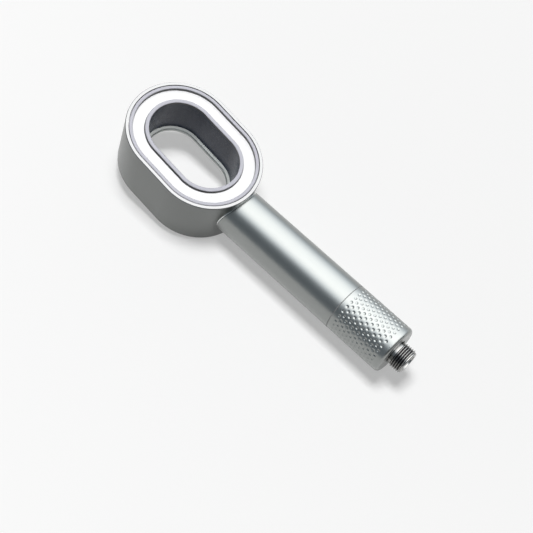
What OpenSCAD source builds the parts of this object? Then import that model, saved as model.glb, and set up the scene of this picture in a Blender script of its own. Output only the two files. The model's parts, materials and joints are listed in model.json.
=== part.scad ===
// Handheld shower head with a racetrack ring head and a filter handle.
// The handle's axis lies along +X, and the part lies on z = 0 on the back edge of its head.
// Head pieces are drawn in the head's own frame: origin at the centre of the face, +X towards
// the handle, +Z out of the face. Handle pieces are drawn along +Z from the point where the
// handle's axis meets the head's end wall.

/* [Head] */
// Outer radius of the head's round ends
head_r = 44; // [40:0.5:54]
// Length of the head's straight sides
head_straight = 31; // [24:0.5:44]
// Depth of the head from face to back
head_depth = 53; // [50:0.5:66]
// Angle between the head and the handle
head_tilt = 10.5; // [5:0.5:14]
// Width of the rim, which is also the wall
rim_w = 2.6; // [2.4:0.1:4]
// Chamfer round the rim
rim_chamfer = 0.4; // [0.2:0.1:1.2]
// Radius of the edge round the back
back_round = 1.6; // [1:0.1:3]
// Thickness of the back cover
back_t = 3; // [2:0.1:4]

/* [Hole through the head] */
// Radius of the hole's round ends
hole_r = 25.4; // [20:0.1:27]
// Depth of the silver lip at the lower end of the liner
lip_depth = 36.2; // [30:0.1:40]
// How far the lip reaches into the hole
lip_reach = 2.8; // [1:0.1:4]
// How far the hole widens from the lip to the back
flare = 8; // [2:0.1:9]
// Wall of the hole's liner
hole_liner_t = 2.2; // [1.6:0.1:3]
// Thickness of the lip
lip_t = 3.6; // [3:0.1:5]

/* [Face] */
// Width of the bezel inside the rim
outer_bezel_w = 2.8; // [2.4:0.1:5]
// Width of the bezel round the hole
inner_bezel_w = 3.6; // [3:0.1:5]
// Depth of the inner bezel's top below the rim
inner_bezel_drop = 0.5; // [0.4:0.1:1.8]
// How far the inner bezel's outer wall slants out towards its foot
inner_bezel_slant = 0.5; // [0:0.1:1]
// Gap between the rim and the outer bezel
bezel_gap = 0.5; // [0.1:0.05:0.6]
// Depth of the face plate's top below the rim
plate_drop = 3; // [2:0.1:3.5]
// Thickness of the face plate
plate_t = 2; // [1.5:0.1:2.5]
// Thickness of the gaskets under the face plate
gasket_t = 1.2; // [0.8:0.1:1.5]
// Width of the gaskets under the face plate
gasket_w = 2; // [1.5:0.1:2.2]
// Thickness of the ledges that carry the gaskets
ledge_t = 2; // [1.5:0.1:2.5]
// Thickness of the flow distributor
baffle_t = 1.5; // [1:0.1:2]
// Radius of a spray hole
spray_r = 0.2; // [0.15:0.05:0.5]
// Rows of spray holes
spray_rows = 3; // [1:1:4]
// Spray holes in a row
spray_count = 36; // [20:1:44]
// Distance between the rows of spray holes
spray_pitch = 2.1; // [1.8:0.1:2.3]

/* [Handle] */
// Outer radius of the handle
handle_r = 20.5; // [17:0.1:25]
// Length of the sleeve along its axis
sleeve_len = 113.8; // [90:0.1:140]
// Depth of the handle's top below the face
handle_drop = 3.5; // [3.3:0.1:5]
// Wall of the sleeve
sleeve_t = 2; // [1.5:0.1:3]
// Wall of the pressure tube inside the sleeve
liner_t = 2; // [1.6:0.1:3]
// Width of the light collar at the head
collar_w = 0.8; // [0.5:0.1:2]
// Gap on each side of the collar
collar_gap = 0.5; // [0.1:0.1:1]

/* [Cap and inlet] */
// Length of the screw cap
cap_len = 50.5; // [40:0.1:60]
// Wall of the screw cap
cap_t = 1.9; // [1.7:0.1:3]
// Thickness of the cap's end
cap_end_t = 3.5; // [2.5:0.1:5]
// Radius of the cap's end edge
cap_round = 3; // [1:0.1:3.5]
// Width of the seam between sleeve and cap
seam_w = 0.5; // [0.4:0.1:1.5]
// Length of the threaded spigot on the pressure tube
spigot_len = 13; // [9:0.1:16]
// Pitch of the cap's thread
cap_pitch = 2; // [1.5:0.1:2.5]
// Major radius of the hose thread, for G 1/2
inlet_r = 10.478; // [10:0.001:12.7]
// Pitch of the hose thread
inlet_pitch = 1.814; // [1.5:0.001:2]
// Thread ridges on the nipple
inlet_ridges = 5; // [4:1:6]
// Length of the nipple outside the cap
nipple_len = 12.8; // [12:0.1:16]
// Radius of the nipple's bore
nipple_bore_r = 6.6; // [5:0.1:7]

/* [Filter cartridge] */
// Radius of the perforated sleeve
mesh_r = 13.6; // [11:0.1:13.8]
// Length of the flanged cap
top_cap_len = 15.4; // [12:0.1:20]
// Length of the ring at the other end
end_ring_len = 5.6; // [4:0.1:9]
// Length of the prongs on the ring
prong_len = 3.2; // [2:0.1:4]
// Number of prongs
prong_count = 8; // [4:1:12]

/* [Hidden] */
$fn = 96;
eps = 0.01;
arc_steps = 6;

// clearances
fit_gap = 0.1;        // between two pieces that are fixed to each other
run_gap = 0.08;       // radial, between a turning or sliding pair
face_gap = 0.05;      // between two flat faces that slide over each other

// the face, from its outer edge inwards: radii at the head's round ends
shell_in_r = head_r - rim_w;
bezel_out_r = shell_in_r - bezel_gap;
bezel_in_r = bezel_out_r - outer_bezel_w;
ring_out_r = hole_r + inner_bezel_w;
liner_out_r = hole_r + hole_liner_t;
plate_out_r = shell_in_r - fit_gap;
plate_in_r = liner_out_r + fit_gap;
ledge_out_r = shell_in_r - gasket_w - 2 * fit_gap;
ledge_in_r = liner_out_r + gasket_w + 2 * fit_gap;
lip_r = hole_r - lip_reach;
back_hole_r = lip_r + flare;

// the face, from the rim down: depths
plate_back = plate_drop + plate_t;
ledge_top = plate_back + gasket_t;
ledge_back = ledge_top + ledge_t;
lip_edge = 0.7;       // chamfer on the lip's inner edges
lip_slope = 0.4;      // by which the lip's top falls towards the hole
flare_wall = 2.5;     // between the flared hole and its back, at the cover
mouth_chamfer = 1;
seat_w = 1;           // the shoulder that the back cover seats on
seat_t = 1.5;
seam_chamfer = 0.3;

// the neck
end_x = head_straight / 2 + head_r;
liner_r = handle_r - sleeve_t - fit_gap;
bore_r = liner_r - liner_t;
neck_depth = handle_drop + handle_r * cos(head_tilt);
neck_step = 0.7;      // by which the socket is thinner where it goes into the head
neck_r = liner_r - neck_step;
neck_stand = 1.2;     // by which the socket stands inside the head's wall
neck_in = head_r - sqrt(pow(shell_in_r, 2) - pow(neck_r, 2)) + neck_stand;
neck_wall_t = 2.8;
shoulder_s = liner_r * tan(head_tilt) + 1.5;
socket_len = 26;
collar_r = handle_r - 0.3;
neck_seal_t = 1.2;
seal_edge = 0.3;      // by which a seal is narrower than the faces that squeeze it

// stations along the handle's axis, measured from the head's end wall
sleeve_end = sleeve_len;
cap_start = sleeve_end + seam_w;
cap_end = cap_start + cap_len;
cap_floor = cap_end - cap_end_t;
inlet_end = cap_end + nipple_len;
spigot_end = cap_start + spigot_len + seal_edge;
cap_seal_t = 1.15;
cap_seal_s = spigot_end + fit_gap + face_gap;
core_start = cap_seal_s + cap_seal_t + 2 * face_gap;
core_end = cap_floor - fit_gap;

// the cap's thread and the nipple
male_crest_r = liner_r - 0.3;
male_root_r = male_crest_r - 0.5;
female_crest_r = male_crest_r + run_gap;
cap_crest_w = 0.6;
cap_ridge_w = 1.4;
ridge_root = 0.2;     // by which a ridge is sunk into the wall that it stands on
cap_edge = 0.3;       // chamfer round the cap's open end
cap_bore_r = handle_r - cap_t;
core_r = cap_bore_r - fit_gap;
thread_depth = 1.16;
inlet_root_r = inlet_r - thread_depth;
cap_hole_r = inlet_r + fit_gap;
flange_w = 2.4;       // by which the nipple's flange is wider than the cap's hole
flange_r = cap_hole_r + flange_w;
flange_t = 1.3;
washer_t = 1.1;
flange_s = cap_floor - washer_t - flange_t;
pocket_s = flange_s - fit_gap;
core_wall_t = 1.5;
core_wall_s = pocket_s - core_wall_t;
inlet_crest_w = 0.5;
inlet_ridge_w = 1.6;
plain_end = 1.1;
thread_s = inlet_end - plain_end - inlet_ridges * inlet_pitch;

// the filter cartridge
cart_play = 0.3;      // at each end of the cartridge
cart_start = -neck_in + neck_wall_t + cart_play;
cart_end = core_wall_s - cart_play;
cart_flange_r = bore_r - 0.45;
ring_start = cart_end - prong_len - end_ring_len;
ring_end = cart_end - prong_len;
cup_floor = 7.6;      // thickness of the flanged cap's end
cup_s = cart_start + cup_floor;
mesh_t = 0.9;
fleece_t = 0.7;
core_tube_r = 5.8;
core_bore_r = 4.2;
outlet_r = core_bore_r + 1.3;
mesh_gap = 0.2;
mesh_lap = 2.3;       // by which the end ring reaches over the sleeve
mesh_start = cup_s + mesh_gap;
mesh_end = ring_start + mesh_lap;
seal_section = 0.9;
groove_s = cart_start + 3.6;
groove_w = 2.3;

// the lowest and furthest points of the head, from the end wall's point, and the part's place
face_x = -end_x * cos(head_tilt) + neck_depth * sin(head_tilt);
face_z = end_x * sin(head_tilt) + neck_depth * cos(head_tilt);
edge_x = end_x - back_round;
edge_z = head_depth - back_round;
far_x = face_x - edge_x * cos(head_tilt) - edge_z * sin(head_tilt) - back_round;
low_z = face_z - edge_x * sin(head_tilt) - edge_z * cos(head_tilt) - back_round;
joint_x = -(far_x + inlet_end) / 2;
joint_z = -low_z;

// places its children, drawn in the head's frame
module at_head()
    translate([joint_x + face_x, 0, joint_z + face_z]) rotate([0, head_tilt, 0]) children();

// places its children, drawn along +Z, on the handle's axis
module along_handle()
    translate([joint_x, 0, joint_z]) rotate([0, 90, 0]) children();

// sweeps a closed outline of [radius, depth] points round the head's racetrack
module racetrack(outline) {
    section = [for (p = outline) [p[0], -p[1]]];
    for (side = [0, 180]) rotate([0, 0, side]) {
        translate([head_straight / 2, 0, 0])
            rotate([0, 0, -90]) rotate_extrude(angle = 180) polygon(section);
        rotate([90, 0, 90])
            translate([0, 0, -head_straight / 2]) linear_extrude(head_straight) polygon(section);
    }
}

// a flat ring on the racetrack between two radii and two depths
module track_ring(r_out, r_in, top, bottom)
    racetrack([[r_in, top], [r_out, top], [r_out, bottom], [r_in, bottom]]);

// a point on the racetrack of radius r, at distance s along it
function on_track(r, s) =
    let (arc = PI * r, half = head_straight + arc, back = s >= half, d = back ? s - half : s,
        a = (d - head_straight) / r * 180 / PI,
        p = d < head_straight ? [d - head_straight / 2, r]
            : [head_straight / 2 + r * sin(a), r * cos(a)])
    back ? -p : p;

// count points spread evenly along the racetrack of radius r, shifted by a share of their pitch
function track_points(r, count, shift = 0) =
    let (pitch = 2 * (head_straight + PI * r) / count)
    [for (k = [0 : count - 1]) on_track(r, (k + shift) * pitch)];

// a tube along Z
module tube(r_out, r_in, s0, s1)
    translate([0, 0, s0]) difference() {
        cylinder(r = r_out, h = s1 - s0);
        translate([0, 0, -eps]) cylinder(r = r_in, h = s1 - s0 + 2 * eps);
    }

// a solid bar along Z
module bar(r, s0, s1)
    translate([0, 0, s0]) cylinder(r = r, h = s1 - s0);

// rings with sloping sides along Z, for a thread's ridges; the first starts at s0
module ridges(count, pitch, s0, crest_r, base_r, crest, base)
    for (k = [0 : count - 1]) translate([0, 0, s0 + (k + 0.5) * pitch])
        rotate_extrude() polygon([[base_r, -base / 2], [crest_r, -crest / 2],
            [crest_r, crest / 2], [base_r, base / 2]]);

// ---- the head ----

module head_shell() {
    arc = [for (k = [0 : arc_steps]) let (a = 90 * k / arc_steps)
        [head_r - back_round * (1 - cos(a)), head_depth - back_round * (1 - sin(a))]];
    seat = head_depth - back_t;
    outline = concat(
        [[head_r, rim_chamfer], [head_r - rim_chamfer, 0], [shell_in_r, 0],
            [shell_in_r, ledge_top], [ledge_out_r, ledge_top], [ledge_out_r, ledge_back],
            [shell_in_r, ledge_back], [shell_in_r, seat - seat_t], [shell_in_r - seat_w, seat - seat_t],
            [shell_in_r - seat_w, seat], [shell_in_r, seat], [shell_in_r, head_depth]],
        [for (k = [arc_steps : -1 : 0]) arc[k]]);
    color([0.62, 0.64, 0.62]) difference() {
        at_head() racetrack(outline);
        along_handle() bar(neck_r + fit_gap / 2, -neck_in - 1, handle_r);
    }
}

module back_cover() {
    edge_r = shell_in_r - fit_gap;
    outline = [[edge_r, head_depth - back_t], [back_hole_r + flare_wall, head_depth - back_t],
        [liner_out_r, lip_depth + lip_t], [liner_out_r, lip_depth], [hole_r, lip_depth],
        [lip_r + lip_edge, lip_depth + lip_slope], [lip_r, lip_depth + lip_slope + lip_edge],
        [lip_r, lip_depth + lip_t - lip_edge], [back_hole_r, head_depth - mouth_chamfer],
        [back_hole_r + mouth_chamfer, head_depth], [edge_r - seam_chamfer, head_depth],
        [edge_r, head_depth - seam_chamfer]];
    color([0.62, 0.64, 0.62]) difference() {
        at_head() racetrack(outline);
        along_handle() bar(neck_r + fit_gap, -neck_in - 1, handle_r);
    }
}

module hole_liner()
    color([0.30, 0.31, 0.33]) at_head() racetrack([[hole_r, plate_drop],
        [liner_out_r, plate_drop], [liner_out_r, ledge_top], [ledge_in_r, ledge_top],
        [ledge_in_r, ledge_back], [liner_out_r, ledge_back], [liner_out_r, lip_depth],
        [hole_r, lip_depth]]);

module face_plate() {
    mid_r = (bezel_in_r + ring_out_r) / 2;
    color([0.95, 0.95, 0.96]) at_head() difference() {
        track_ring(plate_out_r, plate_in_r, plate_drop, plate_back);
        for (row = [0 : spray_rows - 1])
            let (r = mid_r + (row - (spray_rows - 1) / 2) * spray_pitch)
            for (p = track_points(r, spray_count, row % 2 / 2))
                translate([p[0], p[1], -plate_back - eps])
                    cylinder(r = spray_r, h = plate_t + 2 * eps, $fn = 16);
    }
}

module outer_bezel() {
    edge = 0.4;
    color([0.80, 0.80, 0.83]) at_head() racetrack([[bezel_in_r, edge], [bezel_in_r + edge, 0],
        [bezel_out_r - edge, 0], [bezel_out_r, edge], [bezel_out_r, plate_drop],
        [bezel_in_r, plate_drop]]);
}

module inner_bezel() {
    edge = 0.4;
    top = inner_bezel_drop;
    top_out_r = ring_out_r - inner_bezel_slant;
    color([0.80, 0.80, 0.83]) at_head() racetrack([[hole_r, top + edge], [hole_r + edge, top],
        [top_out_r - edge, top], [top_out_r, top + edge], [ring_out_r, plate_drop],
        [hole_r, plate_drop]]);
}

module outer_face_seal()
    color([0.15, 0.15, 0.15]) difference() {
        at_head()
            track_ring(shell_in_r - fit_gap, shell_in_r - fit_gap - gasket_w, plate_back, ledge_top);
        along_handle() bar(neck_r + fit_gap, -neck_in - 1, handle_r);
    }

module inner_face_seal()
    color([0.15, 0.15, 0.15]) at_head()
        track_ring(liner_out_r + fit_gap + gasket_w, liner_out_r + fit_gap, plate_back, ledge_top);

module flow_distributor() {
    slots = 24;
    slot_r = 1.6;
    mid_r = (plate_out_r + plate_in_r) / 2;
    color([0.85, 0.85, 0.82]) difference() {
        at_head() difference() {
            track_ring(plate_out_r, plate_in_r, ledge_back, ledge_back + baffle_t);
            for (p = track_points(mid_r, slots, 0.5))
                translate([p[0], p[1], -ledge_back - baffle_t - eps])
                    cylinder(r = slot_r, h = baffle_t + 2 * eps, $fn = 24);
        }
        along_handle() bar(neck_r + 3 * fit_gap, -neck_in - 1, handle_r);
    }
}

// ---- the neck and the handle ----

module neck_socket()
    color([0.25, 0.25, 0.27]) along_handle() difference() {
        union() {
            bar(neck_r, -neck_in, shoulder_s + eps);
            bar(liner_r, shoulder_s, socket_len);
        }
        bar(bore_r, -neck_in + neck_wall_t, socket_len + eps);
        bar(outlet_r, -neck_in - eps, 0);
    }

module neck_seal()
    color([0.12, 0.12, 0.12]) along_handle()
        tube(liner_r - seal_edge, bore_r + seal_edge, socket_len, socket_len + neck_seal_t);

module neck_collar()
    color([0.86, 0.87, 0.88]) intersection() {
        difference() {
            along_handle() tube(collar_r, liner_r + fit_gap, -neck_in, handle_r);
            at_head() racetrack([[0, -handle_r], [head_r + fit_gap, -handle_r],
                [head_r + fit_gap, head_depth + handle_r], [0, head_depth + handle_r]]);
        }
        at_head() racetrack([[0, -handle_r], [head_r + fit_gap + collar_w, -handle_r],
            [head_r + fit_gap + collar_w, head_depth + handle_r], [0, head_depth + handle_r]]);
    }

module handle_sleeve() {
    start_r = head_r + fit_gap + collar_w + collar_gap;
    color([0.66, 0.68, 0.67]) difference() {
        along_handle() tube(handle_r, handle_r - sleeve_t, -neck_in, sleeve_end);
        at_head() racetrack([[0, -handle_r], [start_r, -handle_r],
            [start_r, head_depth + handle_r], [0, head_depth + handle_r]]);
    }
}

module handle_liner() {
    s0 = socket_len + neck_seal_t;
    threads = floor((spigot_len - 2) / cap_pitch);
    color([0.25, 0.25, 0.27]) along_handle() {
        tube(liner_r, bore_r, s0, sleeve_end - fit_gap);
        tube(male_root_r, bore_r, sleeve_end - fit_gap - eps, spigot_end);
        difference() {
            ridges(threads, cap_pitch, cap_start + 1, male_crest_r, male_root_r - ridge_root,
                cap_crest_w, cap_ridge_w);
            bar(bore_r, 0, spigot_end);
        }
    }
}

// ---- the cap ----

module seam_gasket()
    color([0.10, 0.10, 0.10]) along_handle()
        tube(handle_r - seal_edge, liner_r + seal_edge, sleeve_end + face_gap,
            cap_start - face_gap);

module cap_seal()
    color([0.12, 0.12, 0.12]) along_handle()
        tube(male_root_r + seal_edge, bore_r + seal_edge, cap_seal_s, cap_seal_s + cap_seal_t);

module grip_cap() {
    arc = [for (k = [0 : arc_steps]) let (a = 90 * k / arc_steps)
        [handle_r - cap_round * (1 - cos(a)), cap_end - cap_round * (1 - sin(a))]];
    threads = floor((spigot_len - 3) / cap_pitch);
    color([0.62, 0.64, 0.62]) along_handle() {
        rotate_extrude() polygon(concat([[cap_bore_r, cap_start],
            [handle_r - cap_edge, cap_start], [handle_r, cap_start + cap_edge]], arc,
            [[cap_hole_r, cap_end], [cap_hole_r, cap_floor], [cap_bore_r, cap_floor]]));
        ridges(threads, cap_pitch, cap_start + 2, female_crest_r, cap_bore_r + ridge_root,
            cap_crest_w, cap_ridge_w);
    }
}

module cap_core() {
    inner_r = mesh_r + 1.6;
    color([0.80, 0.81, 0.80]) along_handle() difference() {
        bar(core_r, core_start, core_end);
        bar(inner_r, core_start - eps, core_wall_s);
        bar(nipple_bore_r + 0.4, core_start, core_end + eps);
        bar(flange_r + fit_gap, pocket_s, core_end + eps);
    }
}

module inlet_nipple() {
    end_chamfer = 0.6;
    color([0.28, 0.27, 0.26]) along_handle() difference() {
        union() {
            bar(flange_r, flange_s, flange_s + flange_t);
            rotate_extrude() polygon([[0, flange_s + eps], [inlet_root_r, flange_s + eps],
                [inlet_root_r, inlet_end - end_chamfer],
                [inlet_root_r - end_chamfer, inlet_end], [0, inlet_end]]);
            ridges(inlet_ridges, inlet_pitch, thread_s, inlet_r, inlet_root_r - ridge_root,
                inlet_crest_w, inlet_ridge_w);
        }
        bar(nipple_bore_r, flange_s - eps, inlet_end + eps);
    }
}

module nipple_seal()
    color([0.12, 0.12, 0.12]) along_handle()
        tube(flange_r - 0.1, inlet_root_r + fit_gap, cap_floor - washer_t, cap_floor);

module flow_regulator() {
    reg_len = 4;
    ports = 6;
    color([0.55, 0.75, 0.55]) along_handle() difference() {
        bar(nipple_bore_r - fit_gap, flange_s + 0.3, flange_s + 0.3 + reg_len);
        bar(1.2, flange_s, flange_s + reg_len + 1);
        for (k = [0 : ports - 1]) rotate([0, 0, k * 360 / ports]) translate([4, 0, 0])
            bar(0.8, flange_s, flange_s + reg_len + 1);
    }
}

module inlet_screen() {
    screen_t = 0.7;
    hole_pitch = 2.3;
    s = inlet_end - 2.4;
    color([0.75, 0.76, 0.77]) along_handle() difference() {
        bar(nipple_bore_r - fit_gap, s, s + screen_t);
        for (ring = [0 : 2]) for (k = [0 : max(1, 6 * ring) - 1])
            rotate([0, 0, k * 360 / max(1, 6 * ring)]) translate([ring * hole_pitch, 0, 0])
                translate([0, 0, s - eps]) cylinder(r = 0.8, h = screen_t + 2 * eps, $fn = 20);
    }
}

// ---- the filter cartridge ----

module cartridge_top_cap() {
    r = cart_flange_r;
    edge = 1;
    groove_r = bore_r - fit_gap - 2 * seal_section - 0.1;
    color([0.82, 0.82, 0.80]) along_handle() rotate_extrude() polygon([
        [core_bore_r, cart_start], [r - edge, cart_start], [r, cart_start + edge], [r, groove_s],
        [groove_r, groove_s], [groove_r, groove_s + groove_w], [r, groove_s + groove_w],
        [r, cup_s + 1.2], [r - 0.4, cup_s + 1.6], [r - 0.4, cart_start + top_cap_len],
        [mesh_r + mesh_gap, cart_start + top_cap_len], [mesh_r + mesh_gap, cup_s],
        [core_bore_r, cup_s]]);
}

module cartridge_seal()
    color([0.12, 0.12, 0.12]) along_handle()
        translate([0, 0, groove_s + groove_w / 2])
            rotate_extrude() translate([bore_r - fit_gap - seal_section, 0])
                circle(r = seal_section, $fn = 32);

module cartridge_mesh()
    color([0.70, 0.71, 0.71]) along_handle() tube(mesh_r, mesh_r - mesh_t, mesh_start, mesh_end);

module cartridge_fleece()
    color([0.90, 0.90, 0.88]) along_handle()
        tube(mesh_r - mesh_t - mesh_gap, mesh_r - mesh_t - mesh_gap - fleece_t,
            mesh_start, mesh_end);

module cartridge_media()
    color([0.55, 0.50, 0.42]) along_handle()
        tube(mesh_r - mesh_t - fleece_t - 2 * mesh_gap, core_tube_r + mesh_gap,
            mesh_start + mesh_gap, mesh_end - mesh_gap);

module cartridge_core() {
    rows = 8;
    row_pitch = (mesh_end - mesh_start - 12) / (rows - 1);
    color([0.88, 0.88, 0.86]) along_handle() difference() {
        tube(core_tube_r, core_bore_r, mesh_start, mesh_end);
        for (row = [0 : rows - 1]) for (side = [0, 90])
            translate([0, 0, mesh_start + 6 + row * row_pitch])
                rotate([0, 90, side + 45 * (row % 2)])
                    cylinder(r = 1.5, h = 4 * core_tube_r, center = true, $fn = 24);
    }
}

module cartridge_end_ring() {
    ring_r = mesh_r + 0.4;
    prong_t = 1.8;
    prong_angle = 360 / prong_count / 2;
    color([0.84, 0.84, 0.82]) along_handle() {
        rotate_extrude() polygon([[0, mesh_end + mesh_gap], [mesh_r + 0.1, mesh_end + mesh_gap],
            [mesh_r + 0.1, ring_start], [ring_r, ring_start], [ring_r, ring_end],
            [ring_r - prong_t, ring_end], [ring_r - prong_t, mesh_end + mesh_gap + 1.5],
            [0, mesh_end + mesh_gap + 1.5]]);
        for (k = [0 : prong_count - 1]) rotate([0, 0, k * 2 * prong_angle])
            rotate_extrude(angle = prong_angle) polygon([[ring_r - prong_t, ring_end - eps],
                [ring_r, ring_end - eps], [ring_r, cart_end - 0.3], [ring_r - 0.3, cart_end],
                [ring_r - prong_t, cart_end]]);
    }
}

head_shell();
back_cover();
hole_liner();
face_plate();
outer_bezel();
inner_bezel();
outer_face_seal();
inner_face_seal();
flow_distributor();
neck_socket();
neck_seal();
neck_collar();
handle_sleeve();
handle_liner();
seam_gasket();
cap_seal();
grip_cap();
cap_core();
inlet_nipple();
nipple_seal();
flow_regulator();
inlet_screen();
cartridge_top_cap();
cartridge_seal();
cartridge_mesh();
cartridge_fleece();
cartridge_media();
cartridge_core();
cartridge_end_ring();
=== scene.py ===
"""The looks of a handheld shower head: a racetrack ring head with a hole through it, a round
filter handle, a dimpled screw cap and a threaded inlet.

Lengths are in metres, in the CAD model's frame: +X runs along the handle towards the hose
thread, +Z is up, and the head's back edge lies on z = 0.
"""

import json
import math

import bmesh
import bpy
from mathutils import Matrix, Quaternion, Vector


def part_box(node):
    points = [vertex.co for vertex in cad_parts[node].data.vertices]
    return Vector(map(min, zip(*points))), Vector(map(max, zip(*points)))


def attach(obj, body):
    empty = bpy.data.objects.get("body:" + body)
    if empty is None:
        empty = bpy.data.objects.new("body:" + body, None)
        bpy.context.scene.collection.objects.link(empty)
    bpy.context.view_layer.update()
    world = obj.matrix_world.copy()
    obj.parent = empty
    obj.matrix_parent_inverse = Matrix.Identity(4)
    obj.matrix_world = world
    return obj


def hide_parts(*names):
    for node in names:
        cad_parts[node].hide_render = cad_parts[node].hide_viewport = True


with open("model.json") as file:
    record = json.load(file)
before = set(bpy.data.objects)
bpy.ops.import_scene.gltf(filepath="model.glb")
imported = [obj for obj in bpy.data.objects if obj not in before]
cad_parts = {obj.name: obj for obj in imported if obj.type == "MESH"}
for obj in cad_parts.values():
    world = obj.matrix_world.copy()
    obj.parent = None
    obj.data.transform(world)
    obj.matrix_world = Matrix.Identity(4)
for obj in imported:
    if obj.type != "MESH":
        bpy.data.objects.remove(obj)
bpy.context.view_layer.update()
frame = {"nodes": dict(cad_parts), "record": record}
nodes = frame["nodes"]
scene = bpy.context.scene
mm = 0.001
TURN = 2 * math.pi

# the handle's axis and its screw cap, from the solids
cap_low, cap_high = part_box("grip_cap")
nipple_low, nipple_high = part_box("inlet_nipple")
axis_z = (cap_low.z + cap_high.z) / 2
cap_radius = (cap_high.z - cap_low.z) / 2

# the G 1/2 hose thread: five turns, which stop at the lead-in
THREAD_TURNS = 5
THREAD_PITCH = 1.814 * mm
THREAD_CREST = 10.478 * mm
THREAD_ROOT = 9.318 * mm
THREAD_STOP = nipple_high.x - 1.25 * mm
THREAD_START = THREAD_STOP - THREAD_TURNS * THREAD_PITCH

# the head's face: its outward normal is opposite to the mount on its back
back_mount = next(m for m in frame["record"]["mounts"] if m["name"] == "back_rest")
face_normal = -Vector(back_mount["axis"]).normalized()
bezel_low, bezel_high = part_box("outer_bezel")
BEZEL_DEPTH = 3.0 * mm
face_centre = (bezel_low + bezel_high) / 2 + face_normal * BEZEL_DEPTH / 2


# ---- the camera and the studio ----


def place_camera():
    """A long lens that looks down on the face from the free side of the head."""
    data = bpy.data.cameras.new("camera")
    data.sensor_width = 36.0
    data.lens = 63.8
    camera = bpy.data.objects.new("camera", data)
    scene.collection.objects.link(camera)
    place = Vector((0.2271, -0.3425, 0.6450))
    target = Vector((0.0219, -0.0203, 0.0300))
    roll = math.radians(13.77)
    level = (target - place).to_track_quat("-Z", "Y")
    camera.location = place
    camera.rotation_mode = "QUATERNION"
    camera.rotation_quaternion = level @ Quaternion((0, 0, 1), roll)
    scene.camera = camera


def add_softbox(name, place, target, size, power, **seen_by):
    """A rectangular area light that faces a point, and the kinds of ray that see it."""
    data = bpy.data.lights.new(name, "AREA")
    data.shape = "RECTANGLE"
    data.size, data.size_y = size
    data.energy = power
    light = bpy.data.objects.new(name, data)
    light.location = place
    light.rotation_mode = "QUATERNION"
    light.rotation_quaternion = (Vector(target) - Vector(place)).to_track_quat("-Z", "Y")
    for kind, seen in seen_by.items():
        setattr(light, "visible_" + kind, seen)
    scene.collection.objects.link(light)


class Wire:
    """An output socket that takes part in Python sums, each of which adds a Math node."""

    def __init__(self, tree, socket):
        self.tree, self.socket = tree, socket

    def maths(self, operation, *others, swap=False):
        values = [self, *others]
        if swap:
            values.reverse()
        return self.tree.node("ShaderNodeMath", {"operation": operation}, dict(enumerate(values)))

    def __add__(self, other):
        return self.maths("ADD", other)

    def __sub__(self, other):
        return self.maths("SUBTRACT", other)

    def __rsub__(self, other):
        return self.maths("SUBTRACT", other, swap=True)

    def __mul__(self, other):
        return self.maths("MULTIPLY", other)

    def __truediv__(self, other):
        return self.maths("DIVIDE", other)

    def __pow__(self, other):
        return self.maths("POWER", other)

    __radd__ = __add__
    __rmul__ = __mul__


class Tree:
    """A node tree, and the one method that puts a node in it."""

    def __init__(self, nodes_of):
        self.tree = nodes_of
        self.tree.nodes.clear()

    def node(self, kind, settings=None, inputs=None, output=0):
        """Adds a node; its settings are set first, then each input gets a value or a wire."""
        made = self.tree.nodes.new(kind)
        for name, value in (settings or {}).items():
            if name == "ramp":
                self.set_ramp(made.color_ramp, value)
            else:
                setattr(made, name, value)
        for key, value in (inputs or {}).items():
            if isinstance(value, Wire):
                self.tree.links.new(value.socket, made.inputs[key])
            else:
                made.inputs[key].default_value = value
        return Wire(self, made.outputs[output]) if made.outputs else None

    @staticmethod
    def set_ramp(ramp, stops):
        while len(ramp.elements) < len(stops):
            ramp.elements.new(0.5)
        for element, (place, colour) in zip(ramp.elements, stops):
            element.position = place
            element.color = colour if len(colour) == 4 else (*colour, 1.0)


def new_material(name):
    material = bpy.data.materials.new(name)
    material.use_nodes = True
    return material, Tree(material.node_tree)


# the key light hangs over the head, and the floor's glow makes up for it as it falls off
KEY_PLACE = (-0.04, -0.04, 1.1)
KEY_SIZE = (0.32, 0.32)
KEY_POWER = 10.0
KEY_GLOW = 0.51  # what the key gives the floor straight below it
FLOOR_GLOW = 0.333  # the glow that shows in the shadows, as on a light table
FLOOR_TONE = 0.60


def lay_floor():
    """A pale glowing floor that is as bright far from the key light as it is below it."""
    reach = 8.0
    corners = [(-reach, -reach, 0), (reach, -reach, 0), (reach, reach, 0), (-reach, reach, 0)]
    mesh = bpy.data.meshes.new("studio_floor")
    mesh.from_pydata(corners, [], [(0, 1, 2, 3)])
    floor = bpy.data.objects.new("studio_floor", mesh)
    scene.collection.objects.link(floor)
    material, tree = new_material("pale_floor")
    place = tree.node("ShaderNodeTexCoord", output=3)
    away = tree.node("ShaderNodeVectorMath", {"operation": "LENGTH"}, {0: place}, output=1)
    fall_off = ((away / KEY_PLACE[2]) ** 2.0 + 1.0) ** -2.0
    cloth = noise(tree, 900.0, 2.0)
    shade = between(tree, cloth, [FLOOR_TONE * 0.99] * 3, [FLOOR_TONE * 1.01] * 3)
    full_glow = FLOOR_GLOW + KEY_GLOW
    level = 1.0 - fall_off * (KEY_GLOW / full_glow)
    glow = between(tree, level, (0, 0, 0), (1, 1, 1))
    shader = tree.node("ShaderNodeBsdfPrincipled", None, {
        "Base Color": shade,
        "Roughness": 0.95,
        "Specular IOR Level": 0.0,
        "Emission Color": glow,
        "Emission Strength": full_glow,
    })
    tree.node("ShaderNodeOutputMaterial", None, {0: shader})
    mesh.materials.append(material)


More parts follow.
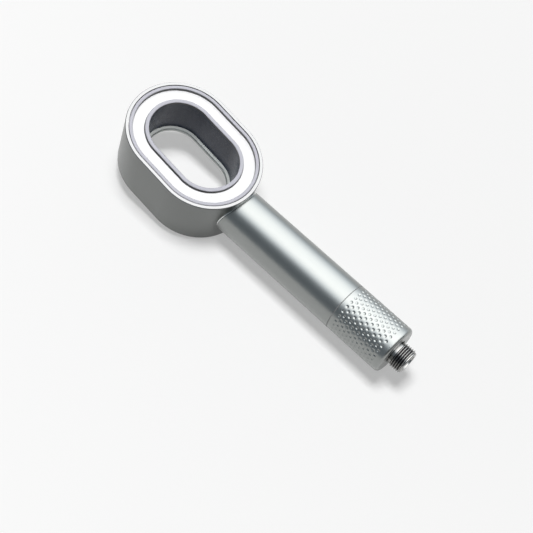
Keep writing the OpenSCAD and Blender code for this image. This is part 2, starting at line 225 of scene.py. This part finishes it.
# brightness of the strip light that the metal reflects, by the angle in degrees round the handle's
# axis: 0 is straight up, and 90 is level and away from the camera
STRIP_LIGHT = [(-90, 0.33), (-67, 0.27), (-52, 0.29), (-37.5, 0.45), (-22.5, 2.36), (-7.5, 3.66),
               (7.5, 3.75), (22.5, 3.55), (40, 3.40), (60, 2.45), (85, 0.72), (110, 0.45)]
STRIP_PEAK = 3.75
STRIP_FADE = (0.50, 0.78)  # it fades as a reflection leans this far along the handle, either way
STRIP_PAST_FADE = 0.12  # the share of it that is left there
SHADE_BLUE = 0.13  # how much bluer the strip's dark parts are
ROOM_SEEN = 0.92  # the room's brightness behind the floor's edge
ROOM_FILL = 0.14  # the room's brightness as light on matt surfaces


def light_studio():
    """A soft key overhead, a dim white room, and a wide strip light for the metal."""
    world = bpy.data.worlds.new("studio")
    world.use_nodes = True
    scene.world = world
    tree = Tree(world.node_tree)
    way = tree.node("ShaderNodeTexCoord", output=0)
    x, y, z = [tree.node("ShaderNodeSeparateXYZ", None, {0: way}, output=k) for k in range(3)]
    turn = y.maths("ARCTAN2", z) / TURN + 0.5
    stops = []
    for angle, level in STRIP_LIGHT:
        share = level / STRIP_PEAK
        blue = SHADE_BLUE * (1 - share)
        stops.append((angle / 360 + 0.5, (share * (1 - blue), share, share * (1 + blue))))
    strip = tree.node("ShaderNodeValToRGB", {"ramp": stops}, {0: turn})
    diffuse = tree.node("ShaderNodeLightPath", output="Is Diffuse Ray")
    room = tree.node("ShaderNodeBackground", None, {
        "Color": (0.98, 1.0, 0.99, 1),
        "Strength": ROOM_SEEN - diffuse * (ROOM_SEEN - ROOM_FILL),
    })
    end = tree.node("ShaderNodeMapRange", {"interpolation_type": "SMOOTHSTEP"}, {
        0: x.maths("ABSOLUTE"), 1: STRIP_FADE[0], 2: STRIP_FADE[1], 3: 1.0, 4: STRIP_PAST_FADE})
    gloss = tree.node("ShaderNodeBackground", None, {0: strip, "Strength": end * STRIP_PEAK})
    glossy = tree.node("ShaderNodeLightPath", output="Is Glossy Ray")
    both = tree.node("ShaderNodeMixShader", None, {0: glossy, 1: room, 2: gloss})
    tree.node("ShaderNodeOutputWorld", None, {0: both})
    below_key = (KEY_PLACE[0], KEY_PLACE[1], 0)
    add_softbox("key_light", KEY_PLACE, below_key, KEY_SIZE, KEY_POWER, glossy=False, camera=False)
    lay_floor()
    scene.view_settings.view_transform = "Standard"


# ---- finishes ----


def noise(tree, scale, detail, stretch=None):
    """Noise on the piece's own coordinates; scale is in cycles for each metre."""
    place = tree.node("ShaderNodeTexCoord", output=3)
    if stretch:
        place = tree.node("ShaderNodeMapping", None, {0: place, "Scale": stretch})
    return tree.node("ShaderNodeTexNoise", None, {
        "Vector": place, "Scale": scale, "Detail": detail})


def between(tree, share, low, high):
    """A colour that goes from low to high with share; each is three numbers or a wire."""
    ends = [end if isinstance(end, Wire) else (*end, 1) for end in (low, high)]
    return tree.node("ShaderNodeMix", {"data_type": "RGBA"}, {0: share, 6: ends[0], 7: ends[1]},
                     output=2)


def surface(tree, colour, rough, bump, depth, **fixed):
    """The piece's shader, with a fine relief, and fixed numbers on the shader's own sockets."""
    relief = tree.node("ShaderNodeBump", None, {
        "Strength": 0.6, "Distance": depth, "Height": bump})
    inputs = {"Base Color": colour, "Roughness": rough, "Normal": relief}
    inputs.update({key.replace("_", " "): value for key, value in fixed.items()})
    shader = tree.node("ShaderNodeBsdfPrincipled", None, inputs)
    tree.node("ShaderNodeOutputMaterial", None, {0: shader})


def handling_marks(tree, along=(90.0, 1500.0, 1500.0)):
    """Sparse fine rubs that run along a piece, from 0 to 1."""
    rubs = noise(tree, 1.0, 3.0, stretch=along)
    patches = noise(tree, 25.0, 2.0)
    return tree.node("ShaderNodeMapRange", None, {0: rubs + patches * 0.5, 1: 0.86, 2: 1.02})


SATIN_TINT = (0.965, 1.0, 0.975)
SATIN_RELIEF = 0.010 * mm


def satin_grain(tree):
    """A blasted grain finer than a hair, and the slow clouding of an anodised skin."""
    return noise(tree, 5200.0, 1.0), noise(tree, 60.0, 3.0)


def satin_metal(name, tone, rough=0.26):
    """Bead-blasted and anodised: an even satin."""
    material, tree = new_material(name)
    grain, cloud = satin_grain(tree)
    low = [tone * 0.95 * share for share in SATIN_TINT]
    high = [tone * 1.05 * share for share in SATIN_TINT]
    rubs = handling_marks(tree)
    colour = between(tree, cloud * 0.7 + grain * 0.3 - rubs * 0.5, low, high)
    rough = rough + cloud * 0.04 + grain * 0.05 + rubs * 0.07
    surface(tree, colour, rough, grain, SATIN_RELIEF, Metallic=1.0)
    return material


def turned_nickel(name, tone):
    """Dark nickel over turned brass: fine lathe rings, and painted shade in the thread's grooves.
    """
    material, tree = new_material(name)
    rings = noise(tree, 1.0, 2.0, stretch=(9000.0, 120.0, 120.0))
    cloud = noise(tree, 300.0, 3.0)
    place = tree.node("ShaderNodeTexCoord", output=3)
    x, y, z = [tree.node("ShaderNodeSeparateXYZ", None, {0: place}, output=k) for k in range(3)]
    radius = (y ** 2.0 + (z - axis_z) ** 2.0) ** 0.5
    # the thread's height, 0 at the root and 1 at the crest, is the mask of the painted shade
    height = tree.node("ShaderNodeMapRange", None, {0: radius, 1: 9.3 * mm, 2: 10.2 * mm})
    before, past = x.maths("LESS_THAN", THREAD_START), x.maths("GREATER_THAN", THREAD_STOP)
    plain = before.maths("MAXIMUM", past)
    bright = between(tree, cloud, [tone * 0.85] * 3, [tone * 1.15, tone * 1.13, tone * 1.08])
    # painted shade: the colour darkens to an eighth of the tone towards the thread's root
    colour = between(tree, height.maths("MAXIMUM", plain), [tone * 0.12] * 3, bright)
    surface(tree, colour, 0.14 + rings * 0.12, rings, 0.006 * mm, Metallic=1.0)
    return material


def moulded(name, low, high, rough, **fixed):
    """A moulded plastic: fine grain, a little mottling and uneven gloss."""
    material, tree = new_material(name)
    grain = noise(tree, 2600.0, 2.0)
    cloud = noise(tree, 90.0, 3.0)
    rubs = handling_marks(tree, (700.0, 700.0, 700.0))
    colour = between(tree, cloud * 0.6 + grain * 0.4 + rubs * 0.3, low, high)
    rough = rough - 0.06 + cloud * 0.08 + grain * 0.06 + rubs * 0.08
    surface(tree, colour, rough, grain, 0.020 * mm, **fixed)
    return material


def depth_below_face(tree):
    """How far a point lies under the head's face, in metres."""
    place = tree.node("ShaderNodeTexCoord", output=3)
    height = tree.node("ShaderNodeVectorMath", {"operation": "DOT_PRODUCT"},
                       {0: place, 1: tuple(face_normal)}, output=1)
    return face_centre.dot(face_normal) - height


def satin_with_bright_rim(name, tone, rim_tone):
    """The satin wall of the head, with the rim's flat top cut bright."""
    material, tree = new_material(name)
    grain, cloud = satin_grain(tree)
    wall = tree.node("ShaderNodeMapRange", None,
                     {0: depth_below_face(tree), 1: 0.10 * mm, 2: 0.45 * mm})
    satin = between(tree, cloud * 0.7 + grain * 0.3, [tone * 0.95, tone * 0.99, tone * 0.96],
                    [tone * 1.02, tone * 1.06, tone * 1.03])
    colour = between(tree, wall, [rim_tone] * 3, satin)
    rough = wall * 0.10 + 0.17 + cloud * 0.04 + grain * 0.05 + handling_marks(tree) * 0.06
    surface(tree, colour, rough, grain, SATIN_RELIEF, Metallic=1.0)
    return material


def bezel_with_painted_shade_walls(name, top_depth):
    """A bezel with a pale satin top, and side walls coloured near-black as painted shade, told
    apart by their depth.
    """
    material, tree = new_material(name)
    depth = depth_below_face(tree)
    painted_shade_wall_mask = tree.node("ShaderNodeMapRange", None,
                     {0: depth, 1: top_depth + 0.25 * mm, 2: top_depth + 0.40 * mm})
    grain = noise(tree, 3000.0, 2.0)
    top = between(tree, grain, (0.43, 0.43, 0.48), (0.48, 0.48, 0.53))
    # painted shade: below the top, the side walls are coloured near-black
    colour = between(tree, painted_shade_wall_mask, top, (0.02, 0.02, 0.024))
    surface(tree, colour, 0.36 + grain * 0.08, grain, 0.008 * mm)
    return material


def make_finishes():
    """One material for each kind of surface, by a short name."""
    return {
        # painted shade: the head's wall is darker than the handle's aluminium, for the shadowed
        # floor that it reflects; the rim's flat top keeps a brighter cut tone
        "head": satin_with_bright_rim("satin_head_aluminium_painted_shade", 0.157, 0.27),
        "shell": satin_metal("satin_handle_aluminium", 0.288),
        # painted light: the back cover's aluminium is lighter than the handle's, for the light that
        # falls on its lip in the hole; it is rougher as well
        "back": satin_metal("satin_back_aluminium_painted_light", 0.40, 0.46),
        "cap": satin_metal("satin_cap_aluminium", 0.30),
        "collar": satin_metal("bright_collar_aluminium", 0.62, 0.2),
        "screen": satin_metal("punched_screen_steel", 0.5),
        "nickel": turned_nickel("dark_nickel", 0.30),
        # the hole's liner: a dark blue-grey plastic, darkened further as painted shade for the
        # depth of the hole
        "liner": moulded("liner_plastic_with_painted_shade", (0.012, 0.019, 0.042), (0.018, 0.028, 0.054), 0.26,
                         Specular_IOR_Level=0.27),
        "face": moulded("white_spray_face", (0.88, 0.88, 0.89), (0.92, 0.92, 0.93), 0.30),
        "bezel": bezel_with_painted_shade_walls("pale_outer_bezel", 0.0),
        "hole_bezel": bezel_with_painted_shade_walls("pale_hole_bezel", 0.5 * mm),
        "rubber": moulded("black_seal_rubber", (0.010, 0.010, 0.010), (0.022, 0.022, 0.022), 0.62),
        "gasket": moulded("grey_seam_gasket", (0.22, 0.22, 0.22), (0.27, 0.27, 0.27), 0.5),
        "silicone": moulded("pale_silicone", (0.50, 0.51, 0.50), (0.56, 0.57, 0.56), 0.35),
        "inner": moulded("inner_dark_plastic", (0.085, 0.085, 0.092), (0.115, 0.115, 0.122), 0.45),
        "pale": moulded("pale_moulded_plastic", (0.55, 0.56, 0.56), (0.62, 0.63, 0.63), 0.42),
        "regulator": moulded("green_regulator_plastic", (0.20, 0.40, 0.22), (0.25, 0.46, 0.27),
                             0.35),
        "filter": moulded("grey_filter_sleeve", (0.40, 0.41, 0.41), (0.46, 0.47, 0.47), 0.5),
        "fleece": moulded("filter_fleece", (0.75, 0.75, 0.72), (0.85, 0.85, 0.82), 0.9),
        "granules": moulded("mineral_granules", (0.22, 0.18, 0.13), (0.40, 0.35, 0.28), 0.8),
    }


FINISH_OF = {
    "head_shell": "head", "back_cover": "back", "handle_sleeve": "shell", "grip_cap": "cap",
    "hole_liner": "liner", "face_plate": "face", "outer_bezel": "bezel",
    "inner_bezel": "hole_bezel", "neck_collar": "collar", "outer_face_seal": "rubber",
    "inner_face_seal": "rubber", "neck_seal": "rubber", "seam_gasket": "gasket",
    "cap_seal": "rubber", "nipple_seal": "rubber", "cartridge_seal": "silicone",
    "neck_socket": "inner", "handle_liner": "inner", "cap_core": "pale",
    "cartridge_top_cap": "pale", "cartridge_core": "pale", "cartridge_end_ring": "pale",
    "flow_distributor": "pale", "inlet_nipple": "nickel", "flow_regulator": "regulator",
    "inlet_screen": "screen", "cartridge_mesh": "filter", "cartridge_fleece": "fleece",
    "cartridge_media": "granules",
}


def finish_nodes():
    """Gives every solid the finish of its piece."""
    for name, finish in FINISH_OF.items():
        mesh = nodes[name].data
        mesh.materials.clear()
        mesh.materials.append(finishes[finish])


# ---- meshes: lathes, lattices and threads round the handle's axis ----


def turned(profile, around):
    """A bare surface: [station, radius] points turned round the handle's axis."""
    made = bmesh.new()
    turns = [TURN * k / around for k in range(around)]
    rows = []
    for station, radius in profile:
        rows.append([made.verts.new((station, -radius * math.sin(a), axis_z + radius * math.cos(a)))
                     for a in turns])
    for near, far in zip(rows, rows[1:]):
        for k in range(around):
            after = (k + 1) % around
            made.faces.new((near[k], near[after], far[after], far[k]))
    mesh = bpy.data.meshes.new("turned")
    made.to_mesh(mesh)
    made.free()
    return mesh


def rounded(corner, radius, start, stop, steps):
    """Points of an arc round a corner's centre, from one angle to another, in degrees."""
    angles = [math.radians(start + (stop - start) * k / steps) for k in range(steps + 1)]
    return [(corner[0] + radius * math.cos(a), corner[1] + radius * math.sin(a)) for a in angles]


def shell_piece(name, meshes, finish, body, node, sharp):
    """Bare surfaces joined into one closed shell, which stands for a CAD node."""
    made = bmesh.new()
    for mesh in meshes:
        made.from_mesh(mesh)
        bpy.data.meshes.remove(mesh)
    bmesh.ops.remove_doubles(made, verts=made.verts, dist=0.004 * mm)
    bmesh.ops.recalc_face_normals(made, faces=made.faces)
    mesh = bpy.data.meshes.new(name)
    made.to_mesh(mesh)
    made.free()
    mesh.polygons.foreach_set("use_smooth", [True] * len(mesh.polygons))
    mesh.set_sharp_from_angle(angle=math.radians(sharp))
    mesh.materials.clear()  # also resets the material numbers that grown faces bring along
    mesh.materials.append(finishes[finish])
    piece = bpy.data.objects.new(name, mesh)
    scene.collection.objects.link(piece)
    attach(piece, body)
    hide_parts(node)


class Growth(Tree):
    """A Geometry Nodes tree with named inputs, which grows a bare surface."""

    KINDS = {"float": "NodeSocketFloat", "int": "NodeSocketInt", "object": "NodeSocketObject",
             "material": "NodeSocketMaterial"}

    def __init__(self, name, kinds):
        group = bpy.data.node_groups.new(name, "GeometryNodeTree")
        super().__init__(group)
        self.names = {}
        for label, kind in kinds.items():
            socket = group.interface.new_socket(label, in_out="INPUT", socket_type=self.KINDS[kind])
            self.names[label] = socket.identifier
        group.interface.new_socket("Surface", in_out="OUTPUT", socket_type="NodeSocketGeometry")
        entry = group.nodes.new("NodeGroupInput")
        self.given = {label: Wire(self, entry.outputs[label]) for label in kinds}

    def end(self, surface_wire):
        """Makes the instances real, merges the seams and sets the material."""
        real = self.node("GeometryNodeRealizeInstances", None, {0: surface_wire})
        merged = self.node("GeometryNodeMergeByDistance", None, {0: real, "Distance": 0.003 * mm})
        coated = self.node("GeometryNodeSetMaterial", None,
                           {0: merged, "Material": self.given["Finish"]})
        self.node("NodeGroupOutput", None, {0: coated})

    def position(self):
        """The x, y and z of the surface's points."""
        place = self.node("GeometryNodeInputPosition")
        return [self.node("ShaderNodeSeparateXYZ", None, {0: place}, output=k) for k in range(3)]

    def moved(self, surface_wire, x, y, z):
        """The surface with its points at x, y and z."""
        place = self.node("ShaderNodeCombineXYZ", None, {0: x, 1: y, 2: z})
        return self.node("GeometryNodeSetPosition", None, {0: surface_wire, "Position": place})

    def rolled_up(self, surface_wire, station, radius, angle):
        """The surface wrapped round the handle's axis."""
        sine = angle.maths("SINE")
        cosine = angle.maths("COSINE")
        height = radius * cosine + self.given["Axis height"]
        return self.moved(surface_wire, station, radius * sine * -1.0, height)

    def grow(self, values):
        """The tree's surface with these inputs, as a plain mesh."""
        holder = bpy.data.objects.new("growth", bpy.data.meshes.new("growth"))
        scene.collection.objects.link(holder)
        modifier = holder.modifiers.new("growth", "NODES")
        modifier.node_group = self.tree
        for label, value in values.items():
            modifier[self.names[label]] = value
        graph = bpy.context.evaluated_depsgraph_get()
        mesh = bpy.data.meshes.new_from_object(holder.evaluated_get(graph))
        bpy.data.objects.remove(holder)
        return mesh


def lattice_tree():
    """Staggered rows of one cell, wrapped round the handle's axis."""
    tree = Growth("staggered_lattice", {
        "Cell": "object", "Around": "int", "Rows": "int", "Row pitch": "float",
        "Start": "float", "Radius": "float", "Axis height": "float", "Finish": "material"})
    around, rows, radius = (tree.given[label] for label in ("Around", "Rows", "Radius"))
    grid = tree.node("GeometryNodeMeshGrid", None, {
        "Size X": around - 1.0, "Size Y": rows - 1.0, "Vertices X": around, "Vertices Y": rows})
    x, y, z = tree.position()
    column = (x + (around - 1.0) * 0.5).maths("ROUND")
    row = (y + (rows - 1.0) * 0.5).maths("ROUND")
    width = radius * TURN / around
    across = (column + row.maths("MODULO", 2.0) * 0.5) * width
    along = tree.given["Start"] + (row + 0.5) * tree.given["Row pitch"]
    points = tree.moved(grid, across, along, 0.0)
    cell = tree.node("GeometryNodeObjectInfo", None, {"Object": tree.given["Cell"]},
                     output="Geometry")
    cells = tree.node("GeometryNodeInstanceOnPoints", None, {"Points": points, "Instance": cell})
    sheet = tree.node("GeometryNodeRealizeInstances", None, {0: cells})
    tree.end(tree.rolled_up(sheet, y, radius + z, x / radius))
    return tree


def thread_tree():
    """A right-handed helical thread between two stations, which fades out at both."""
    tree = Growth("helical_thread", {
        "Around": "int", "Rows in a pitch": "int", "Turns": "int", "Pitch": "float",
        "Start": "float", "Stop": "float", "Root radius": "float", "Crest radius": "float",
        "Crest flat": "float", "Root flat": "float", "Run-out": "float",
        "Axis height": "float", "Finish": "material"})
    given = tree.given
    start, stop, pitch = given["Start"], given["Stop"], given["Pitch"]
    lead = given["Turns"] + 1.0
    grid = tree.node("GeometryNodeMeshGrid", None, {
        "Size X": 1.0, "Size Y": lead, "Vertices X": given["Around"] + 1.0,
        "Vertices Y": given["Rows in a pitch"] * lead + 1.0})
    x, y, z = tree.position()
    turn = x + 0.5
    level = y + lead * 0.5
    station = (start + pitch * (level + turn - 1.0)).maths("MAXIMUM", start).maths("MINIMUM", stop)
    seam_guard = 0.0005  # keeps a row on the turn's seam from rounding to either side of it
    from_crest = ((level + seam_guard).maths("FRACT") - 0.5).maths("ABSOLUTE") * 2.0
    ridge = tree.node("ShaderNodeMapRange", None, {
        0: from_crest, 1: 1.0 - given["Root flat"], 2: given["Crest flat"], 3: 0.0, 4: 1.0})
    fade_in = ((station - start) / given["Run-out"]).maths("MINIMUM", 1.0)
    fade_out = ((stop - station) / given["Run-out"]).maths("MINIMUM", 1.0)
    depth = given["Crest radius"] - given["Root radius"]
    radius = given["Root radius"] + depth * ridge * fade_in * fade_out
    tree.end(tree.rolled_up(grid, station, radius, turn * TURN))
    return tree


def lattice_cell(width, height, across, along, loops, tip=None):
    """One cell of a lattice: loops of (radius, level), where radius None is the cell's border,
    and a tip that closes the last loop. across and along are the steps in the border's sides.
    """
    count = 2 * (across + along)
    corners = [(0.5, 0.5), (-0.5, 0.5), (-0.5, -0.5), (0.5, -0.5)]
    border = []
    for k, steps in enumerate((across, along, across, along)):
        (x0, y0), (x1, y1) = corners[k], corners[(k + 1) % 4]
        border += [((x0 + (x1 - x0) * j / steps) * width, (y0 + (y1 - y0) * j / steps) * height)
                   for j in range(steps)]
    first = math.radians(90) - across / 2 * TURN / count
    made = bmesh.new()
    rows = []
    for radius, level in loops:
        if radius is None:
            rows.append([made.verts.new((x, y, level)) for x, y in border])
        else:
            angles = [first + TURN * k / count for k in range(count)]
            rows.append([made.verts.new((radius * math.cos(a), radius * math.sin(a), level))
                         for a in angles])
    for outer, inner in zip(rows, rows[1:]):
        for k in range(count):
            after = (k + 1) % count
            made.faces.new((outer[k], outer[after], inner[after], inner[k]))
    if tip is not None:
        middle = made.verts.new((0, 0, tip))
        for k in range(count):
            made.faces.new((rows[-1][k], rows[-1][(k + 1) % count], middle))
    mesh = bpy.data.meshes.new("cell")
    made.to_mesh(mesh)
    made.free()
    cell = bpy.data.objects.new("cell", mesh)
    scene.collection.objects.link(cell)
    return cell


# ---- the pieces that are made here ----

SOFT = 0.15 * mm  # how far a turned edge is broken

AROUND_CAP = 28  # dimples in a row
DIMPLE_ROWS = 13
DIMPLE_PITCH = 3.2 * mm
FIRST_DIMPLE = 4.8 * mm  # from the cap's open end to the first row
DIMPLE_RADIUS = 1.25 * mm
DIMPLE_DEPTH = 0.45 * mm

CAP_WALL = 1.9 * mm
CAP_END_WALL = 3.5 * mm
CAP_END_ROUND = 3.0 * mm
CAP_THREAD_PITCH = 2.0 * mm
CAP_THREAD_CREST = 18.19 * mm

NIPPLE_BORE = 6.6 * mm
FLANGE_THICK = 1.3 * mm

HOLES_AROUND = 33
HOLE_ROWS = 62
HOLE_RADIUS = 0.55 * mm
SLEEVE_WALL = 0.9 * mm
SLEEVE_BORDER = 1.6 * mm  # the plain band at each end


def dimple_loops():
    """The cell's border, a soft edge, and a bowl that is part of a sphere."""
    r, d = DIMPLE_RADIUS, DIMPLE_DEPTH
    ball = (r * r + d * d) / (2 * d)

    def bowl(radius):
        return ball - d - math.sqrt(ball * ball - radius * radius)

    rings = [(r * share, bowl(r * share)) for share in (0.90, 0.66, 0.34)]
    return [(None, 0.0), (r * 1.12, 0.0), (r * 1.02, -0.02 * mm)] + rings


def make_grip_cap(lattice, thread):
    """The screw cap: a dimpled grip, a round end edge, and a right-handed thread inside."""
    segments = AROUND_CAP * 4
    bore = cap_radius - CAP_WALL
    hole = THREAD_CREST + 0.1 * mm
    floor = cap_high.x - CAP_END_WALL
    first = cap_low.x + FIRST_DIMPLE - DIMPLE_PITCH / 2
    last = first + DIMPLE_ROWS * DIMPLE_PITCH
    cell = lattice_cell(TURN * cap_radius / AROUND_CAP, DIMPLE_PITCH, 4, 4, dimple_loops(),
                        tip=-DIMPLE_DEPTH)
    dimples = lattice.grow({
        "Cell": cell, "Around": AROUND_CAP, "Rows": DIMPLE_ROWS, "Row pitch": DIMPLE_PITCH,
        "Start": first, "Radius": cap_radius, "Axis height": axis_z, "Finish": finishes["cap"]})
    bpy.data.objects.remove(cell)
    thread_start, thread_stop = cap_low.x + 1.0 * mm, cap_low.x + 12.2 * mm
    inside = thread.grow({
        "Around": segments, "Rows in a pitch": 10, "Turns": 6, "Pitch": CAP_THREAD_PITCH,
        "Start": thread_start, "Stop": thread_stop, "Root radius": bore,
        "Crest radius": CAP_THREAD_CREST, "Crest flat": 0.3, "Root flat": 0.3,
        "Run-out": 1.2 * mm, "Axis height": axis_z, "Finish": finishes["cap"]})
    edge = cap_high.x - CAP_END_ROUND
    outside = [(last, cap_radius), ((last + edge) / 2, cap_radius)]
    outside += rounded((edge, cap_radius - CAP_END_ROUND), CAP_END_ROUND, 90, 0, 8)
    outside += [(cap_high.x, hole + SOFT), (cap_high.x - SOFT / 3, hole + SOFT / 3),
                (cap_high.x - SOFT, hole), (floor, hole), (floor, bore), (thread_stop, bore)]
    mouth = [(thread_start, bore), (cap_low.x + SOFT, bore), (cap_low.x, bore + SOFT)]
    mouth += rounded((cap_low.x + SOFT, cap_radius - SOFT), SOFT, 180, 90, 4)
    mouth += [(first, cap_radius)]
    shell_piece("dimpled_screw_cap",
                [dimples, inside, turned(outside, segments), turned(mouth, segments)],
                "cap", "screw_cap", "grip_cap", sharp=42.0)


def make_inlet_nipple(thread):
    """The hose nipple: a flange inside the cap, a smooth neck, a G 1/2 thread and a lead-in."""
    segments = 96
    root, bore = THREAD_ROOT, NIPPLE_BORE
    flange = (nipple_high.z - nipple_low.z) / 2
    flange_end = nipple_low.x + FLANGE_THICK
    end = nipple_high.x
    ridges = thread.grow({
        "Around": segments, "Rows in a pitch": 14, "Turns": THREAD_TURNS + 1,
        "Pitch": THREAD_PITCH, "Start": THREAD_START, "Stop": THREAD_STOP, "Root radius": root,
        "Crest radius": THREAD_CREST, "Crest flat": 0.16, "Root flat": 0.14,
        "Run-out": 0.45 * mm, "Axis height": axis_z, "Finish": finishes["nickel"]})
    front = [(THREAD_STOP, root), (end - 0.6 * mm, root), (end - 0.5 * mm, root - 0.04 * mm),
             (end - 0.08 * mm, root - 0.5 * mm), (end, root - 0.6 * mm), (end, bore + 2 * SOFT),
             (end - SOFT / 2, bore + SOFT / 2), (end - 2 * SOFT, bore), (nipple_low.x, bore)]
    back = [(nipple_low.x, bore), (nipple_low.x, flange - SOFT), (nipple_low.x + SOFT, flange),
            (flange_end - SOFT, flange), (flange_end, flange - SOFT), (flange_end, root),
            (THREAD_START, root)]
    shell_piece("threaded_inlet_nipple", [ridges, turned(front, segments), turned(back, segments)],
                "nickel", "screw_cap", "inlet_nipple", sharp=35.0)


def make_filter_sleeve(lattice):
    """The cartridge's sleeve: a thin tube with staggered rows of round holes."""
    low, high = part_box("cartridge_mesh")
    radius = (high.z - low.z) / 2
    first, last = low.x + SLEEVE_BORDER, high.x - SLEEVE_BORDER
    pitch = (high.x - low.x - 2 * SLEEVE_BORDER) / HOLE_ROWS
    loops = [(None, 0.0), (HOLE_RADIUS, 0.0), (HOLE_RADIUS, -SLEEVE_WALL), (None, -SLEEVE_WALL)]
    cell = lattice_cell(TURN * radius / HOLES_AROUND, pitch, 4, 2, loops)
    holes = lattice.grow({
        "Cell": cell, "Around": HOLES_AROUND, "Rows": HOLE_ROWS, "Row pitch": pitch,
        "Start": first, "Radius": radius, "Axis height": axis_z, "Finish": finishes["filter"]})
    bpy.data.objects.remove(cell)
    inner = radius - SLEEVE_WALL
    bands = [turned([(near, radius), (far, radius), (far, inner), (near, inner)],
                    HOLES_AROUND * 4) for near, far in ((first, low.x), (last, high.x))]
    shell_piece("perforated_filter_sleeve", [holes] + bands, "filter", "cartridge",
                "cartridge_mesh", sharp=50.0)


place_camera()
light_studio()
finishes = make_finishes()
finish_nodes()
staggered_lattice = lattice_tree()
helical_thread = thread_tree()
make_grip_cap(staggered_lattice, helical_thread)
make_inlet_nipple(helical_thread)
make_filter_sleeve(staggered_lattice)
